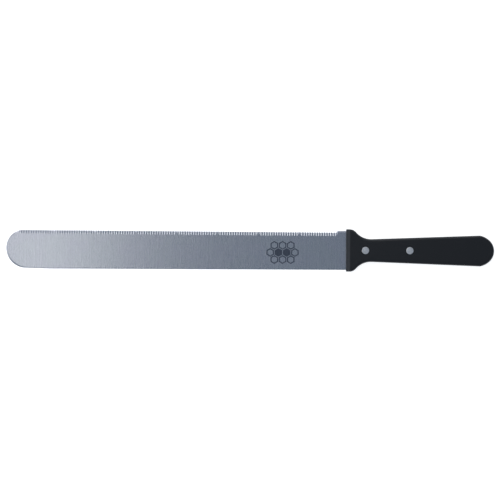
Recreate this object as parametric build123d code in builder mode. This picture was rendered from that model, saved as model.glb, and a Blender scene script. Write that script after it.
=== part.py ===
"""Uncapping knife: a wide, round-tipped, finely fluted blade in a riveted two-scale handle.

The knife lies flat. +X runs from the tip to the tail of the handle, +Y points to the toothed edge and
+Z to the fluted side of the blade. The origin is under the middle of the knife, on the surface that the
handle lies on. All sizes are in millimetres.
"""

from build123d import *
from math import acos, atan, cos, degrees, radians, sqrt
import os

# ---- Driving dimensions ---------------------------------------------------------------------------

# Blade
blade_length = 310.0  # from the tip to the front of the handle
blade_width = 35.5
blade_thickness = 1.5
tip_upper_radius = 16.45  # the tip curves a little tighter towards the teeth than towards the back
tip_lower_radius = 18.5
back_ease_length = 39.0  # the back closes in over this length, measured from the tip
rim_bevel_width = 1.2  # a shallow bevel on the fluted side, all round the blank
rim_bevel_depth = 0.3
edge_break = 0.2  # the chamfer that takes the sharpness off the back

# Toothed edge
edge_drop_at_tip = 0.15  # how far grinding has set the edge back from the full width
edge_drop_at_heel = 1.35
heel_length = 7.7  # unground stretch in front of the handle
heel_slope_length = 1.8
first_land = 42.7  # from the handle to the middle of the first flat land
land_pitch = 37.25
land_count = 7
flutes_per_group = 16  # between one land and the next
heel_flutes = 15  # between the heel and the first land
tip_flutes = 14  # between the last land and the tip
flute_radius = 2.0
flute_length = 3.3  # how far a flute reaches in from the edge
scallop_depth = 0.4  # how far a flute bites into the outline of the edge

# Tang
tang_width = 16.0
tang_length = 103.0
tang_entry = 4.5  # depth to which the full width of the blade enters the handle
tang_corner_radius = 3.0

# Handle
handle_length = 134.8
handle_thickness = 15.0
flare_width = 38.7
flare_straight = 3.2
flare_corner_radius = 7.6
neck_radius = 18.0
waist_width = 20.8
flank_angle = 2.13  # degrees, the opening of each flank towards the tail
tail_corner = 121.9  # from the front of the handle to the end of the flank
tail_radius = 13.2
tail_nose_angle = 47.0  # degrees, half of the arc at the very end
front_corner_radius = 0.6
front_bevel_width = 3.5
front_bevel_depth = 2.6
face_edge_radius = 2.4
pocket_clearance = 0.1

# Rivets
rivet_places = {"front": 17.6, "rear": 58.0}  # from the front of the handle
rivet_head_diameter = 6.65
rivet_head_height = 1.6
sleeve_diameter = 4.6
pin_diameter = 3.2
sleeve_gap = 0.4  # between the end of the sleeve and the head of the pin
rivet_clearance = 0.02
tang_hole_clearance = 0.05
head_chamfer = 0.12

# ---- Worked-out sizes -----------------------------------------------------------------------------

handle_front = (blade_length - handle_length) / 2
middle_height = handle_thickness / 2
blade_half = blade_width / 2
flare_half = flare_width / 2
waist_half = waist_width / 2

# These planes all have their origin on the centre line at the front of the handle, so that the blade
# lies at negative and the handle at positive x.
middle_plane = Plane((handle_front, 0, middle_height))
plain_side = middle_plane.offset(-blade_thickness / 2)
fluted_side = middle_plane.offset(blade_thickness / 2)
upper_face = middle_plane.offset(middle_height)
long_section = Plane(upper_face.origin, x_dir=(1, 0, 0), z_dir=(0, -1, 0))
cross_section = Plane(middle_plane.origin, x_dir=(0, 1, 0), z_dir=(-1, 0, 0))

heel_step = heel_length + heel_slope_length
edge_rise = edge_drop_at_heel - edge_drop_at_tip
edge_angle = degrees(atan(edge_rise / (blade_length - heel_step)))


def edge_height(distance):
    """Y of the toothed line at a distance in front of the handle."""
    share = (distance - heel_step) / (blade_length - heel_step)
    return blade_half - edge_drop_at_heel + share * edge_rise


nose_height = blade_half - tip_upper_radius

# ---- Outlines, drawn with the origin on the centre line at the front of the handle -----------------

# The blank in front of the handle, before the teeth are ground: full width, with a round tip.
with BuildSketch() as blank_outline:
    with BuildLine():
        upper_arc = CenterArc((-blade_length + tip_upper_radius, nose_height), tip_upper_radius, 90, 90)
        lower_arc = CenterArc((-blade_length + tip_lower_radius, nose_height), tip_lower_radius, 180, 90)
        Polyline(
            upper_arc @ 0,
            (0, blade_half),
            (0, -blade_half),
            (-blade_length + back_ease_length, -blade_half),
            lower_arc @ 1,
        )
    make_face()

# What grinding the teeth takes off the blank: a sliver above the toothed line, up to the heel.
with BuildSketch() as ground_off:
    Polygon(
        (-heel_length, blade_half),
        (-heel_step, edge_height(heel_step)),
        (-blade_length, edge_height(blade_length)),
        (-blade_length, blade_width),
        (-heel_length, blade_width),
        align=None,
    )

# The full width just inside the handle, then a narrow tongue with rounded corners.
with BuildSketch() as tang_outline:
    with Locations((-tang_entry, 0)):
        Rectangle(2 * tang_entry, blade_width, align=(Align.MIN, Align.CENTER))
    Rectangle(tang_length, tang_width, align=(Align.MIN, Align.CENTER))
    tongue_corners = vertices().filter_by(lambda corner: abs(corner.Y) < blade_half - tang_corner_radius)
    fillet(tongue_corners, tang_corner_radius)

# Flared front, necked waist, opening flanks and a round tail, symmetrical about the centre line.
neck_rise = waist_half + neck_radius - (flare_half - flare_corner_radius)
shoulder_angle = degrees(acos(neck_rise / (flare_corner_radius + neck_radius)))
with BuildSketch() as handle_outline:
    with BuildLine():
        front = Line((0, 0), (0, flare_half))
        side = Line(front @ 1, (flare_straight, flare_half))
        corner = JernArc(side @ 1, side % 1, flare_corner_radius, -shoulder_angle)
        neck = JernArc(corner @ 1, corner % 1, neck_radius, shoulder_angle + flank_angle)
        flank_length = (tail_corner - (neck @ 1).X) / cos(radians(flank_angle))
        flank = PolarLine(neck @ 1, flank_length, flank_angle)
        nose = CenterArc((handle_length - tail_radius, 0), tail_radius, 0, tail_nose_angle)
        TangentArc(nose @ 1, flank @ 1, tangent=nose % 1)
        mirror(about=Plane.XZ)
    make_face()

# ---- Blade ----------------------------------------------------------------------------------------

# One flute is a shallow round groove. Its bottom line starts on the fluted side, flute_length in from
# the edge, and comes out of the plain side scallop_depth before the edge. The cutter is drawn with its
# origin on the edge, y out of the edge and z out of the fluted side.
flute_tilt = degrees(atan(blade_thickness / (flute_length - scallop_depth)))
flute_start = Plane((0, -flute_length, 0), x_dir=(1, 0, 0), z_dir=(0, 1, 0)).rotated((-flute_tilt, 0, 0))

with BuildPart() as flute_cutter:
    with BuildSketch(flute_start):
        with Locations((0, -flute_radius)):
            Circle(flute_radius)
    extrude(amount=2 * flute_length)

# Flutes are counted from the first land. A number that is a whole group away from it is a land.
group = flutes_per_group + 1
last_flute = (land_count - 1) * group + tip_flutes
flute_numbers = [number for number in range(-heel_flutes, last_flute + 1) if number % group]
flute_distances = [first_land + number * land_pitch / group for number in flute_numbers]
flute_places = [
    fluted_side * Location((-distance, edge_height(distance), 0), (0, 0, -edge_angle))
    for distance in flute_distances
]
rivet_lines = [Plane((handle_front + place, 0, middle_height)) for place in rivet_places.values()]

with BuildPart() as blade:
    with BuildSketch(plain_side):
        add(blank_outline.sketch)
        add(tang_outline.sketch)
    extrude(amount=blade_thickness)
    ground_face = blade.faces().sort_by(Axis.Z)[-1]
    rim_edges = ground_face.edges().filter_by(GeomType.CIRCLE).group_by(Axis.X)[0]
    # From the round tip the bevel runs on along both sides, which meet it smoothly.
    chamfer(rim_edges, rim_bevel_width, rim_bevel_depth, reference=ground_face)
    # Grinding sets the toothed line back, most of all near the heel, and takes the bevel with it.
    with BuildSketch(plain_side):
        add(ground_off.sketch)
    extrude(amount=blade_thickness, mode=Mode.SUBTRACT)
    # A square standing on its corner, run along both corners of the back, takes off their sharpness.
    with BuildSketch(cross_section):
        with Locations((-blade_half, -blade_thickness / 2), (-blade_half, blade_thickness / 2)):
            Rectangle(edge_break * sqrt(2), edge_break * sqrt(2), rotation=45)
    extrude(amount=blade_length, mode=Mode.SUBTRACT)
    with Locations(*rivet_lines):
        Hole(sleeve_diameter / 2 + tang_hole_clearance)
    with Locations(*flute_places):
        add(flute_cutter.part, mode=Mode.SUBTRACT)

# ---- Handle scales --------------------------------------------------------------------------------

with BuildPart() as upper_scale:
    with BuildSketch(middle_plane):
        add(handle_outline.sketch)
    extrude(amount=middle_height)
    face_rim = upper_scale.faces().sort_by(Axis.Z)[-1].edges()
    fillet(face_rim.sort_by(Axis.X)[1:], face_edge_radius)
    # The sloping band along the front edge.
    with BuildSketch(long_section):
        Polygon((0, 0), (front_bevel_width, 0), (0, -front_bevel_depth), align=None)
    extrude(amount=flare_width, both=True, mode=Mode.SUBTRACT)
    # The two small rounded corners at the front.
    with BuildSketch(middle_plane):
        add(handle_outline.sketch)
        fillet(vertices().group_by(Axis.X)[0], front_corner_radius)
    extrude(amount=middle_height, mode=Mode.INTERSECT)
    # The pocket for the tang, half as deep as the tang is thick.
    with BuildSketch(middle_plane):
        add(tang_outline.sketch)
        offset(amount=pocket_clearance)
    extrude(amount=blade_thickness / 2, mode=Mode.SUBTRACT)
    # The stepped holes for the rivets.
    with Locations(*[line.offset(middle_height) for line in rivet_lines]):
        CounterBoreHole(
            sleeve_diameter / 2 + rivet_clearance,
            rivet_head_diameter / 2 + rivet_clearance,
            rivet_head_height,
        )

with BuildPart() as lower_scale:
    mirror(upper_scale.part, about=middle_plane)

# ---- Rivets ---------------------------------------------------------------------------------------

from_below = (Align.CENTER, Align.CENTER, Align.MIN)
from_above = (Align.CENTER, Align.CENTER, Align.MAX)
rivets = {}

for end, place in rivet_places.items():
    # The female half: a head flush with the upper face, and a tube almost down to the pin's head.
    with BuildPart(Plane((handle_front + place, 0, handle_thickness))) as sleeve:
        Cylinder(rivet_head_diameter / 2, rivet_head_height, align=from_above)
        tube_length = handle_thickness - rivet_head_height - sleeve_gap
        Cylinder(sleeve_diameter / 2, tube_length, align=from_above)
        Hole(pin_diameter / 2)
        chamfer(sleeve.faces().sort_by(Axis.Z)[-1].edges(), head_chamfer)
    rivets[f"{end}_rivet_sleeve"] = sleeve

    # The male half: a head flush with the lower face, and a pin that fills the tube to the top.
    with BuildPart(Plane((handle_front + place, 0, 0))) as pin:
        Cylinder(rivet_head_diameter / 2, rivet_head_height, align=from_below)
        Cylinder(pin_diameter / 2, handle_thickness, align=from_below)
        end_faces = pin.faces().filter_by(Axis.Z).sort_by(Axis.Z)
        chamfer(end_faces[0].edges() + end_faces[-1].edges(), head_chamfer)
    rivets[f"{end}_rivet_pin"] = pin

# ---- Files ----------------------------------------------------------------------------------------

os.makedirs("parts", exist_ok=True)
pieces = {"blade": blade, "upper_scale": upper_scale, "lower_scale": lower_scale, **rivets}
for name, piece in pieces.items():
    piece.part.label = name
    export_step(piece.part, f"parts/{name}.step")
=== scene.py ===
"""Looks of the uncapping knife: cross-ground steel, hard black plastic and flush rivets.

The file is laid out as an add-on. Its operators finish the blade, mould the two handle scales, turn the
rivets and set the stage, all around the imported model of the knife. The knife lies flat: +X runs from the
tip to the tail, +Y points to the toothed edge and +Z out of the fluted side. Everything is in metres.
"""

from math import radians, sqrt

import bmesh
import bpy
from bpy.props import FloatProperty, FloatVectorProperty, IntProperty, PointerProperty
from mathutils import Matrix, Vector


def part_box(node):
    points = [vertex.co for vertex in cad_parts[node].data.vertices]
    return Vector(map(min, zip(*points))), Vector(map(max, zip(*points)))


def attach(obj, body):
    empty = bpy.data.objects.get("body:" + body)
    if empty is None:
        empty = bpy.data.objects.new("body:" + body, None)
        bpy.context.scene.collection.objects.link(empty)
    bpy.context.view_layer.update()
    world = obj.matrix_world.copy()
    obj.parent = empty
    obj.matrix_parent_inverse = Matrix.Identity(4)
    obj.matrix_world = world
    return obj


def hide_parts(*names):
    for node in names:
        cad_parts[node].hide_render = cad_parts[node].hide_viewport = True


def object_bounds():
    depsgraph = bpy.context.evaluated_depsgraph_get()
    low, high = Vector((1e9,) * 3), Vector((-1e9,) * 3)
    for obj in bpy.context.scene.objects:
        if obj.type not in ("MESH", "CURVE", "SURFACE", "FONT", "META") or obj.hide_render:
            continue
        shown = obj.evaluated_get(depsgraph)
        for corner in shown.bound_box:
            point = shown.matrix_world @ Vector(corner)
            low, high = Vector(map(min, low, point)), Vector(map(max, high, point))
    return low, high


bl_info = {
    "name": "Uncapping Knife",
    "version": (1, 0, 0),
    "blender": (4, 5, 0),
    "location": "View3D > Sidebar > Knife",
    "description": "Finishes the blade, scales and rivets of an uncapping knife and sets its stage",
    "category": "Object",
}

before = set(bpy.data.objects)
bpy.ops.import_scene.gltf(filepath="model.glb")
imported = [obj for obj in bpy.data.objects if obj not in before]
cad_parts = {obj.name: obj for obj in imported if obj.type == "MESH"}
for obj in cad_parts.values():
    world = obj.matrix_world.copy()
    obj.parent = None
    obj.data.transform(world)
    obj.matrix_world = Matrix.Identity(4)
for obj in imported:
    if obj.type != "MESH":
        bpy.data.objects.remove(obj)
CAD_LOW, CAD_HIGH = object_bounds()
BLADE_LOW, BLADE_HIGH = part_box("blade")
SCALE_LOW, SCALE_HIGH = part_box("upper_scale")

MILLIMETRE = 0.001
HANDLE_FRONT = SCALE_LOW.x
HANDLE_LENGTH = SCALE_HIGH.x - SCALE_LOW.x
BLADE_WIDTH = BLADE_HIGH.y - BLADE_LOW.y
MIDDLE_HEIGHT = (CAD_LOW.z + CAD_HIGH.z) / 2
SCALE_THICKNESS = CAD_HIGH.z - MIDDLE_HEIGHT
# The band below a scale's face whose colour is painted lighter, partly as wear and partly as a painted
# highlight.
WEAR_AND_SHEEN_START = SCALE_THICKNESS - 2.5 * MILLIMETRE
WEAR_AND_SHEEN_END = SCALE_THICKNESS - 0.6 * MILLIMETRE
MERGE_DISTANCE = 1e-7
LEVEL_TOLERANCE = 1e-6
FLAT_FACE_CORNERS = 8
HONEYCOMB_CELL_REACH = 0.46
HONEYCOMB_SOFT_EDGE = 0.008
WARM_WHITE = (1.0, 0.975, 0.93)
COOL_WHITE = (0.88, 0.94, 1.0)


# ---- Shader building ------------------------------------------------------------------------------


class Value:
    """A node's output that can be used in a Python expression. Each operation adds its Math node."""

    def __init__(self, shader, socket):
        self.shader = shader
        self.socket = socket

    def math(self, operation, *others):
        return self.shader.node("ShaderNodeMath", {"operation": operation}, (self, *others))

    def __add__(self, other):
        return self.math("ADD", other)

    __radd__ = __add__

    def __sub__(self, other):
        return self.math("SUBTRACT", other)

    def __rsub__(self, other):
        return self.shader.node("ShaderNodeMath", {"operation": "SUBTRACT"}, (other, self))

    def __mul__(self, other):
        return self.math("MULTIPLY", other)

    __rmul__ = __mul__

    def __truediv__(self, other):
        return self.math("DIVIDE", other)

    def __abs__(self):
        return self.math("ABSOLUTE")

    def nearest(self, step):
        """The nearest whole multiple of a step."""
        return (self / step).math("ROUND") * step

    def larger(self, other):
        return self.math("MAXIMUM", other)

    def above(self, limit):
        return self.math("GREATER_THAN", limit)

    def below(self, limit):
        return self.math("LESS_THAN", limit)

    def ramp(self, start, end):
        """0 at start, 1 at end and a soft step between them. End may be the smaller one."""
        settings = {"interpolation_type": "SMOOTHSTEP"}
        return self.shader.node("ShaderNodeMapRange", settings, {0: self, 1: start, 2: end})


class Shader:
    """A node tree, filled one node at a time."""

    def __init__(self, tree):
        self.tree = tree
        tree.nodes.clear()

    def node(self, kind, settings=None, inputs=(), output=0):
        """Adds a node, sets its settings, then its sockets by place or name, and returns an output."""
        made = self.tree.nodes.new(kind)
        for name, value in (settings or {}).items():
            setattr(made, name, value)
        pairs = inputs.items() if isinstance(inputs, dict) else enumerate(inputs)
        for name, value in pairs:
            if isinstance(value, Value):
                self.tree.links.new(value.socket, made.inputs[name])
            else:
                made.inputs[name].default_value = value
        return Value(self, made.outputs[output]) if made.outputs else None

    def position(self):
        return self.node("ShaderNodeTexCoord", output="Object")

    def parts(self, vector):
        """The x, y and z of a vector."""
        split = self.node("ShaderNodeSeparateXYZ", inputs=(vector,))
        return [Value(self, socket) for socket in split.socket.node.outputs]

    def grain(self, size, detail=3.0, shift=(0, 0, 0)):
        """Noise from 0 to 1 about 0.5, whose spots have a size in metres along x, y and z."""
        scale = [1 / length for length in size]
        place = self.node("ShaderNodeMapping", inputs={0: self.position(), 1: shift, 3: scale})
        return self.node("ShaderNodeTexNoise", inputs={"Vector": place, "Scale": 1.0, "Detail": detail})

    def mix(self, factor, first, second):
        """The first colour where the factor is 0, the second where it is 1."""
        return self.node("ShaderNodeMix", {"data_type": "RGBA"}, {0: factor, 6: first, 7: second}, 2)

    def bump(self, height, depth):
        """A normal from a height of 0 to 1, whose full step is a depth in metres."""
        return self.node("ShaderNodeBump", inputs={"Strength": 1.0, "Distance": depth, "Height": height})

    def surface(self, sockets):
        """Ends a material in one Principled shader."""
        principled = self.node("ShaderNodeBsdfPrincipled", inputs=sockets)
        self.node("ShaderNodeOutputMaterial", inputs=(principled,))


def new_material(name):
    """An empty material and the Shader that fills it."""
    material = bpy.data.materials.new(name)
    material.use_nodes = True
    return material, Shader(material.node_tree)


def with_alpha(colour):
    return (*colour, 1.0)


def shade(colour, factor):
    """A colour made lighter or darker by a factor, with its alpha."""
    return with_alpha([channel * factor for channel in colour])


# ---- Settings -------------------------------------------------------------------------------------


def length_setting(name, description, default):
    return FloatProperty(name=name, description=description, default=default, min=0, unit="LENGTH")


def factor_setting(name, description, default):
    return FloatProperty(name=name, description=description, default=default, min=0, max=1, subtype="FACTOR")


def colour_setting(name, description, default):
    return FloatVectorProperty(
        name=name, description=description, default=default, min=0, max=1, size=3, subtype="COLOR"
    )


class KnifeBladeSettings(bpy.types.PropertyGroup):
    """The ground steel and the etched mark."""

    steel_colour: colour_setting("Steel", "Colour of the bare steel", (0.545, 0.567, 0.613))
    patch_colour: colour_setting("Patches", "Colour of the faint cloudy patches", (0.548, 0.56, 0.62))
    roughness: factor_setting("Roughness", "How satin the ground faces are", 0.27)
    line_width: length_setting("Grinding line", "Width of the fine grinding lines", 0.25 * MILLIMETRE)
    line_depth: length_setting("Line depth", "Depth of the fine grinding lines", 0.002 * MILLIMETRE)
    fine_contrast: factor_setting("Fine lines", "How much the fine grinding lines change the tone", 0.35)
    broad_contrast: factor_setting("Broad lines", "How much the broad grinding lines change the tone", 0.75)
    smear_contrast: factor_setting("Smears", "How much the soft smears change the tone", 0.12)
    mark_colour: colour_setting("Mark", "Colour of the etched mark", (0.045, 0.06, 0.095))
    mark_cell: length_setting("Mark cell", "Width of one honeycomb cell of the mark", 7.5 * MILLIMETRE)
    mark_distance: length_setting("Mark place", "From the handle to the mark's middle", 57.9 * MILLIMETRE)
    mark_drop: length_setting("Mark drop", "From the middle line to the mark's middle", 2.1 * MILLIMETRE)
    mark_line: length_setting("Mark line", "Width of the lines of the mark", 1.0 * MILLIMETRE)


class KnifeScaleSettings(bpy.types.PropertyGroup):
    """The moulded handle scales."""

    plastic_colour: colour_setting("Plastic", "Colour of the moulded plastic", (0.0095, 0.0105, 0.0132))
    roughness: factor_setting("Roughness", "How satin the plastic is", 0.4)
    seam_radius: length_setting("Seam edge", "Rounding of the edges that meet at the seam", 0.25 * MILLIMETRE)
    hole_radius: length_setting("Hole edge", "Rounding of the rims of the rivet holes", 0.1 * MILLIMETRE)
    grain_size: length_setting("Grain", "Size of the mould's fine spark grain", 0.3 * MILLIMETRE)
    grain_depth: length_setting("Grain depth", "Depth of the spark grain", 0.006 * MILLIMETRE)


class KnifeRivetSettings(bpy.types.PropertyGroup):
    """The two-part rivets."""

    metal_colour: colour_setting("Metal", "Colour of the rivets", (0.73, 0.74, 0.76))
    roughness: factor_setting("Roughness", "How satin the ground heads are", 0.48)
    head_height: length_setting("Head height", "Thickness of each head", 1.6 * MILLIMETRE)
    tube_radius: length_setting("Tube", "Outer radius of the sleeve's tube", 2.3 * MILLIMETRE)
    bore_radius: length_setting("Bore", "Radius of the pin and of the sleeve's bore", 1.6 * MILLIMETRE)
    crown: length_setting("Crown", "How far the middle of a head stands above its rim", 0.08 * MILLIMETRE)
    edge_radius: length_setting("Edge", "Rounding of the turned edges", 0.17 * MILLIMETRE)
    steps: IntProperty(name="Steps", description="Flats in a full turn", default=72, min=12, max=256)


class KnifeStageSettings(bpy.types.PropertyGroup):
    """The table, the lights and the camera."""

    table_size: length_setting("Table size", "Length of each side of the table", 16)
    table_colour: colour_setting("Table", "Colour of the table", (0.9, 0.9, 0.9))
    room_colour: colour_setting("Room", "Soft light from all round", (0.2, 0.24, 0.295))
    strip_power: FloatProperty(name="Strip", description="Light over the tip", default=0.68, unit="POWER")
    rim_power: FloatProperty(name="Rim", description="Light for the tip's rim", default=0.52, unit="POWER")
    land_power: FloatProperty(name="Lands", description="Light for the flat lands", default=1.2, unit="POWER")
    top_power: FloatProperty(name="Top", description="Light facing the teeth", default=2.4, unit="POWER")
    left_power: FloatProperty(name="Left", description="Light beyond the tip", default=2, unit="POWER")
    lens: FloatProperty(name="Lens", description="Focal length", default=300, unit="CAMERA")
    frame_width: length_setting("Frame width", "Width that the picture takes in", 0.4561)
    camera_turn: FloatProperty(
        name="Camera turn", description="Turn of the picture", default=radians(0.26), unit="ROTATION"
    )


# ---- Blade ----------------------------------------------------------------------------------------


def honeycomb(shader, centre_x, centre_y, cell, line):
    """A mask of ten cells in rows of three, four and three, whose two middle cells are filled."""
    x, y, _ = shader.parts(shader.position())
    row_step = sqrt(3)
    half_row = row_step / 2
    # One cell is one unit wide. The middle row has its cells at halves to both sides of the centre.
    across = (x - centre_x) / cell + 0.5
    along = (y - centre_y) / cell
    # The cells stand on two rectangular grids, half a step apart. The nearer grid point is the cell's own.
    first_x = across - across.nearest(1)
    first_y = along - along.nearest(row_step)
    second_x = (across - 0.5) - (across - 0.5).nearest(1)
    second_y = (along - half_row) - (along - half_row).nearest(row_step)
    first_distance = first_x * first_x + first_y * first_y
    second_distance = second_x * second_x + second_y * second_y
    second_is_nearer = first_distance.above(second_distance)
    from_middle_x = first_x + second_is_nearer * (second_x - first_x)
    from_middle_y = first_y + second_is_nearer * (second_y - first_y)
    cell_x = abs(across - from_middle_x - 0.5)
    cell_y = abs(along - from_middle_y)
    # Three rows are kept: four cells in the middle one and three in each of the others.
    in_rows = cell_y.below(1.2 * half_row)
    in_cluster = (cell_x + cell_y / row_step).below(1.75) * in_rows
    # How far out a point lies in its cell, from 0 in the middle to 0.5 on the side.
    reach = abs(from_middle_x).larger(abs(from_middle_x) * 0.5 + abs(from_middle_y) * half_row)
    outer = HONEYCOMB_CELL_REACH
    inner = outer - line / cell
    soft = HONEYCOMB_SOFT_EDGE
    inside = reach.ramp(outer + soft, outer - soft)
    opening = reach.ramp(inner + soft, inner - soft)
    filled = (cell_x + cell_y).below(0.75)
    return inside * (1 - opening * (1 - filled)) * in_cluster


def steel_material(settings):
    """Steel ground across the blade: fine lines from back to edge, faint clouds and an etched mark."""
    material, shader = new_material("cross_ground_steel")
    line = settings.line_width
    # The grinding strokes ran right across the blade, so the lines are longer than it is wide.
    fine_length = 2.5 * BLADE_WIDTH
    broad_length = 4 * BLADE_WIDTH
    fine = shader.grain((line, fine_length, fine_length), detail=4.0)
    broad = shader.grain((7 * line, broad_length, broad_length), detail=2.0, shift=(3, 5, 7))
    cloud = shader.grain((22 * MILLIMETRE, 14 * MILLIMETRE, 14 * MILLIMETRE), detail=2.0, shift=(11, 2, 0))
    smear = shader.grain((5 * MILLIMETRE, 9 * MILLIMETRE, 9 * MILLIMETRE), detail=3.0, shift=(4, 9, 1))

    tone = (
        (fine - 0.5) * settings.fine_contrast
        + (broad - 0.5) * settings.broad_contrast
        + (smear - 0.5) * settings.smear_contrast
    )
    clouded = cloud.ramp(0.38, 0.62)
    darker = 0.86
    lighter = 1.14
    dark = shader.mix(clouded, shade(settings.steel_colour, darker), shade(settings.patch_colour, darker))
    light = shader.mix(clouded, shade(settings.steel_colour, lighter), shade(settings.patch_colour, lighter))
    steel = shader.mix(tone + 0.5, dark, light)

    mark = honeycomb(
        shader,
        centre_x=HANDLE_FRONT - settings.mark_distance,
        centre_y=-settings.mark_drop,
        cell=settings.mark_cell,
        line=settings.mark_line,
    )
    # The mark is etched into the fluted side only.
    height = shader.parts(shader.position())[2]
    etched = mark * height.above(MIDDLE_HEIGHT) * (0.92 + (fine - 0.5) * 0.4)
    shader.surface({
        "Base Color": shader.mix(etched, steel, with_alpha(settings.mark_colour)),
        "Metallic": 1 - etched * 0.35,
        "Roughness": settings.roughness + (fine - 0.5) * 0.12 + (smear - 0.5) * 0.03 + etched * 0.22,
        "Normal": shader.bump(fine * 0.7 + broad * 0.3, settings.line_depth),
    })
    return material


class KNIFE_OT_finish_blade(bpy.types.Operator):
    """Give the blade its ground steel and the etched mark"""

    bl_idname = "knife.finish_blade"
    bl_label = "Finish the Blade"

    def execute(self, context):
        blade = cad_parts["blade"]
        blade.data.materials.clear()
        blade.data.materials.append(steel_material(context.scene.knife_blade))
        return {"FINISHED"}


# ---- Handle scales --------------------------------------------------------------------------------


def plastic_material(settings):
    """Hard black plastic: a fine moulded grain, and edges that are smoother and lighter, partly from wear and
    partly as a painted highlight.
    """
    material, shader = new_material("black_moulded_plastic")
    size = settings.grain_size
    grain = shader.grain((size, size, size), detail=3.0)
    blotch = shader.grain((6 * MILLIMETRE, 3 * MILLIMETRE, 3 * MILLIMETRE), detail=4.0, shift=(2, 7, 1))
    scuff = shader.grain((9 * MILLIMETRE, 0.12 * MILLIMETRE, 0.12 * MILLIMETRE), detail=2.0, shift=(1, 3, 8))
    scratches = scuff.ramp(0.64, 0.74) * blotch.ramp(0.5, 0.62)

    # The rounding between the face and the side of a scale gets the most wear. Its colour is also lighter
    # there, partly wear and partly a painted highlight where the edges catch the light.
    height = abs(shader.parts(shader.position())[2] - MIDDLE_HEIGHT)
    wear_and_sheen = height.ramp(WEAR_AND_SHEEN_START, WEAR_AND_SHEEN_END) * height.ramp(SCALE_THICKNESS, WEAR_AND_SHEEN_END) * blotch.ramp(0.3, 0.7)
    body = shader.mix(grain, shade(settings.plastic_colour, 0.8), shade(settings.plastic_colour, 1.2))
    # The edge rounding is painted lighter, partly as wear and partly as a painted highlight. The scratches
    # are real wear.
    rubbed_and_sheen = shader.mix(wear_and_sheen * 0.5 + scratches * 0.5, body, shade(settings.plastic_colour, 2.2))
    shader.surface({
        "Base Color": rubbed_and_sheen,
        "Roughness": settings.roughness + (blotch - 0.5) * 0.12 - wear_and_sheen * 0.06 + scratches * 0.08,
        "Normal": shader.bump(grain * 0.85 + scratches * -0.4, settings.grain_depth),
        "IOR": 1.49,
    })
    return material


def seam_edges(shape):
    """The edges along both long sides and round the tail, where a scale meets the other one."""
    chosen = []
    for edge in shape.edges:
        level = all(abs(corner.co.z - MIDDLE_HEIGHT) < LEVEL_TOLERANCE for corner in edge.verts)
        if not level or edge.calc_face_angle() < radians(45):
            continue
        wall = min(edge.link_faces, key=lambda face: abs(face.normal.z))
        middle = (edge.verts[0].co + edge.verts[1].co) / 2
        # The walls of the tang's pocket face inwards, so only the outer walls pass these tests.
        on_a_side = wall.normal.y * middle.y > 0
        at_the_tail = SCALE_HIGH.x - middle.x < 0.1 * HANDLE_LENGTH and wall.normal.x > 0
        if on_a_side or at_the_tail:
            chosen.append(edge)
    return chosen


def hole_rims(shape, outer_height):
    """The rims of the rivet holes in a scale's outer face."""
    chosen = []
    for edge in shape.edges:
        level = all(abs(corner.co.z - outer_height) < LEVEL_TOLERANCE for corner in edge.verts)
        if level and edge.calc_face_angle() > radians(75):
            chosen.append(edge)
    return chosen


def round_edges(shape, edges, radius, segments):
    bmesh.ops.bevel(
        shape, geom=edges, offset=radius, affect="EDGES", segments=segments, profile=0.5, material=-1
    )


def finished_piece(name, shape, material):
    """Makes a bmesh into an object that rides on the knife."""
    mesh = bpy.data.meshes.new(name)
    shape.to_mesh(mesh)
    shape.free()
    mesh.materials.append(material)
    piece = bpy.data.objects.new(name, mesh)
    bpy.context.scene.collection.objects.link(piece)
    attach(piece, "root")
    return piece


def smooth(shape, crease_angle):
    """Shades the curved faces smoothly. Level faces, faces of many corners and creases stay sharp."""
    for face in shape.faces:
        level = abs(face.normal.z) > 1 - LEVEL_TOLERANCE
        face.smooth = not level and len(face.verts) <= FLAT_FACE_CORNERS
    for edge in shape.edges:
        edge.smooth = edge.calc_face_angle() < crease_angle


def moulded_scale(node, name, outer_height, settings, material):
    """A scale with its moulded roundings, made from a merged copy of its plain shape."""
    shape = bmesh.new()
    shape.from_mesh(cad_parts[node].data)
    bmesh.ops.remove_doubles(shape, verts=shape.verts, dist=MERGE_DISTANCE)
    bmesh.ops.dissolve_limit(shape, angle_limit=radians(0.2), verts=shape.verts, edges=shape.edges)
    round_edges(shape, hole_rims(shape, outer_height), settings.hole_radius, 2)
    round_edges(shape, seam_edges(shape), settings.seam_radius, 3)
    bmesh.ops.dissolve_degenerate(shape, dist=MERGE_DISTANCE, edges=shape.edges)
    smooth(shape, radians(33))
    piece = finished_piece(name, shape, material)
    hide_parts(node)
    return piece


class KNIFE_OT_mould_scales(bpy.types.Operator):
    """Mould the two handle scales with rounded edges and a fine grain"""

    bl_idname = "knife.mould_scales"
    bl_label = "Mould the Scales"

    def execute(self, context):
        settings = context.scene.knife_scales
        material = plastic_material(settings)
        moulded_scale("upper_scale", "moulded_upper_scale", CAD_HIGH.z, settings, material)
        moulded_scale("lower_scale", "moulded_lower_scale", CAD_LOW.z, settings, material)
        return {"FINISHED"}


# ---- Rivets ---------------------------------------------------------------------------------------


def rivet_material(settings):
    """Light alloy, ground flush with the scales: short fine scratches over a faint mottle."""
    material, shader = new_material("ground_rivet_alloy")
    scratch = shader.grain((2.0 * MILLIMETRE, 0.08 * MILLIMETRE, 0.08 * MILLIMETRE), detail=3.0)
    mottle = shader.grain((0.9 * MILLIMETRE,) * 3, detail=3.0, shift=(5, 1, 2))
    tone = scratch * 0.6 + mottle * 0.4
    shader.surface({
        "Base Color": shader.mix(
            tone.ramp(0.3, 0.7), shade(settings.metal_colour, 0.85), shade(settings.metal_colour, 1.1)
        ),
        "Metallic": 1.0,
        "Roughness": settings.roughness + (tone - 0.5) * 0.2,
        "Normal": shader.bump(scratch, 0.002 * MILLIMETRE),
    })
    return material


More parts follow.
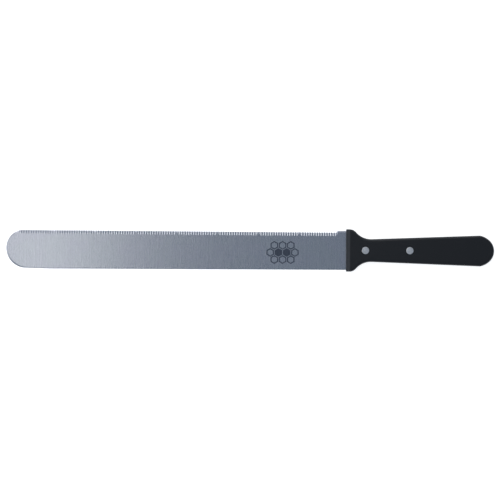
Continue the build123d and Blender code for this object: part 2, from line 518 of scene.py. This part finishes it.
def turned(outline, centre, steps):
    """Turns a closed outline of (radius, height) corners about an upright line."""
    shape = bmesh.new()
    corners = [shape.verts.new((centre.x + radius, centre.y, height)) for radius, height in outline]
    edges = [shape.edges.new((corners[place - 1], corner)) for place, corner in enumerate(corners)]
    bmesh.ops.spin(
        shape,
        geom=corners + edges,
        cent=centre,
        axis=(0, 0, 1),
        angle=radians(360),
        steps=steps,
        use_merge=True,
    )
    bmesh.ops.remove_doubles(shape, verts=shape.verts, dist=MERGE_DISTANCE)
    bmesh.ops.dissolve_degenerate(shape, dist=MERGE_DISTANCE, edges=shape.edges)
    loose = [edge for edge in shape.edges if not edge.link_faces]
    bmesh.ops.delete(shape, geom=loose, context="EDGES")
    bmesh.ops.recalc_face_normals(shape, faces=shape.faces)
    return shape


def turned_rivet(end, settings, material):
    """The sleeve and the pin of one rivet. The pin's end shows as a ring in the sleeve's head."""
    sleeve_low, sleeve_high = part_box(f"{end}_rivet_sleeve")
    pin_low, pin_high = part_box(f"{end}_rivet_pin")
    centre = (sleeve_low + sleeve_high) / 2
    head = (sleeve_high.x - sleeve_low.x) / 2
    head_height = settings.head_height
    tube = settings.tube_radius
    bore = settings.bore_radius
    crown = settings.crown
    sleeve_rim = sleeve_high.z - crown
    crown_at_bore = crown * (1 - (bore / head) ** 2)
    sleeve_outline = [
        (bore, sleeve_low.z),
        (tube, sleeve_low.z),
        (tube, sleeve_high.z - head_height),
        (head, sleeve_high.z - head_height),
        (head, sleeve_rim),
        ((head + bore) / 2, sleeve_rim + crown_at_bore * 0.75),
        (bore, sleeve_rim + crown_at_bore),
    ]
    pin_outline = [
        (0, pin_low.z),
        (head / 2, pin_low.z + crown / 4),
        (head, pin_low.z + crown),
        (head, pin_low.z + head_height),
        (bore, pin_low.z + head_height),
        (bore, sleeve_rim + crown_at_bore),
        (bore / 2, pin_high.z - crown * (bore / 2 / head) ** 2),
        (0, pin_high.z),
    ]
    for part, outline in (("sleeve", sleeve_outline), ("pin", pin_outline)):
        shape = turned(outline, centre, settings.steps)
        rims = [edge for edge in shape.edges if edge.calc_face_angle() > radians(45)]
        round_edges(shape, rims, settings.edge_radius, 3)
        smooth(shape, radians(40))
        piece = finished_piece(f"turned_{end}_rivet_{part}", shape, material)
        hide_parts(f"{end}_rivet_{part}")


class KNIFE_OT_turn_rivets(bpy.types.Operator):
    """Turn the sleeves and pins of both rivets"""

    bl_idname = "knife.turn_rivets"
    bl_label = "Turn the Rivets"

    def execute(self, context):
        settings = context.scene.knife_rivets
        material = rivet_material(settings)
        for end in ("front", "rear"):
            turned_rivet(end, settings, material)
        return {"FINISHED"}


# ---- Stage ----------------------------------------------------------------------------------------


def soft_light(name, place, aim, width, height, power, colour=WARM_WHITE):
    """A rectangular soft box at a place, facing an aim."""
    data = bpy.data.lights.new(name, "AREA")
    data.shape = "RECTANGLE"
    data.size = width
    data.size_y = height
    data.energy = power
    data.color = colour
    light = bpy.data.objects.new(name, data)
    bpy.context.scene.collection.objects.link(light)
    light.location = place
    light.rotation_euler = (Vector(aim) - Vector(place)).to_track_quat("-Z", "Y").to_euler()
    light.visible_camera = False


def table(settings):
    """A large white table that shines softly, so that it stays pale under the dim lights."""
    shape = bmesh.new()
    bmesh.ops.create_grid(shape, x_segments=1, y_segments=1, size=settings.table_size / 2)
    # A hair below the knife, so that the two faces that touch don't show through each other.
    bmesh.ops.translate(shape, verts=shape.verts, vec=(0, 0, -0.05 * MILLIMETRE))
    mesh = bpy.data.meshes.new("table")
    shape.to_mesh(mesh)
    shape.free()
    material, shader = new_material("white_table")
    cloud = shader.grain((0.4, 0.4, 0.4), detail=2.0)
    shader.surface({
        "Base Color": shader.mix(
            cloud, shade(settings.table_colour, 0.99), shade(settings.table_colour, 1.01)
        ),
        "Roughness": 0.9,
        "Emission Color": (1.0, 1.0, 1.0, 1.0),
        "Emission Strength": 0.85,
    })
    mesh.materials.append(material)
    floor = bpy.data.objects.new("table", mesh)
    bpy.context.scene.collection.objects.link(floor)


def room(settings):
    """Even soft light from all round."""
    world = bpy.data.worlds.new("studio")
    world.use_nodes = True
    shader = Shader(world.node_tree)
    light = shader.node("ShaderNodeBackground", inputs={"Color": with_alpha(settings.room_colour)})
    shader.node("ShaderNodeOutputWorld", inputs=(light,))
    bpy.context.scene.world = world


def camera(settings):
    """A camera straight above the middle of the knife."""
    data = bpy.data.cameras.new("camera")
    data.lens = settings.lens
    data.sensor_width = 36
    data.clip_end = 100
    eye = bpy.data.objects.new("camera", data)
    bpy.context.scene.collection.objects.link(eye)
    eye.location = (0, 0, MIDDLE_HEIGHT + settings.frame_width * data.lens / data.sensor_width)
    eye.rotation_euler = (0, 0, settings.camera_turn)
    bpy.context.scene.camera = eye
    bpy.context.scene.view_settings.view_transform = "Standard"


class KNIFE_OT_set_stage(bpy.types.Operator):
    """Set the table, the soft lights and the camera"""

    bl_idname = "knife.set_stage"
    bl_label = "Set the Stage"

    def execute(self, context):
        settings = context.scene.knife_stage
        table(settings)
        room(settings)
        soft_light(
            "strip_light",
            place=(-0.25, 0, 0.9),
            aim=(-0.25, 0, 0),
            width=0.12,
            height=1.2,
            power=settings.strip_power,
        )
        soft_light(
            "rim_light",
            place=(-0.72, 0.06, 0.9),
            aim=(-0.2, 0, 0),
            width=0.6,
            height=0.3,
            power=settings.rim_power,
        )
        soft_light(
            "land_light",
            place=(-0.25, 0.5, 0.9),
            aim=(-0.2, 0, 0),
            width=0.4,
            height=0.3,
            power=settings.land_power,
        )
        soft_light(
            "top_light",
            place=(-0.03, 1.2, 0.85),
            aim=(0, 0, 0),
            width=0.75,
            height=0.5,
            power=settings.top_power,
        )
        soft_light(
            "left_light",
            place=(-1.3, 0, 0.4),
            aim=(0, 0, 0),
            width=1.0,
            height=0.8,
            power=settings.left_power,
            colour=COOL_WHITE,
        )
        camera(settings)
        return {"FINISHED"}


# ---- Add-on ---------------------------------------------------------------------------------------


class KNIFE_PT_panel(bpy.types.Panel):
    """Lists the knife's settings and operators in the sidebar"""

    bl_idname = "KNIFE_PT_panel"
    bl_label = "Uncapping Knife"
    bl_space_type = "VIEW_3D"
    bl_region_type = "UI"
    bl_category = "Knife"

    def draw(self, context):
        for group, operator in STEPS:
            box = self.layout.box()
            settings = getattr(context.scene, group)
            for name in settings.__annotations__:
                box.prop(settings, name)
            box.operator(operator.bl_idname)


STEPS = (
    ("knife_blade", KNIFE_OT_finish_blade),
    ("knife_scales", KNIFE_OT_mould_scales),
    ("knife_rivets", KNIFE_OT_turn_rivets),
    ("knife_stage", KNIFE_OT_set_stage),
)
SETTINGS = {
    "knife_blade": KnifeBladeSettings,
    "knife_scales": KnifeScaleSettings,
    "knife_rivets": KnifeRivetSettings,
    "knife_stage": KnifeStageSettings,
}
CLASSES = (*SETTINGS.values(), *(operator for _, operator in STEPS), KNIFE_PT_panel)


def register():
    for made in CLASSES:
        bpy.utils.register_class(made)
    for name, group in SETTINGS.items():
        setattr(bpy.types.Scene, name, PointerProperty(type=group))


def unregister():
    for name in SETTINGS:
        delattr(bpy.types.Scene, name)
    for made in reversed(CLASSES):
        bpy.utils.unregister_class(made)


def main():
    register()
    bpy.ops.knife.finish_blade()
    bpy.ops.knife.mould_scales()
    bpy.ops.knife.turn_rivets()
    bpy.ops.knife.set_stage()


if __name__ == "__main__":
    main()
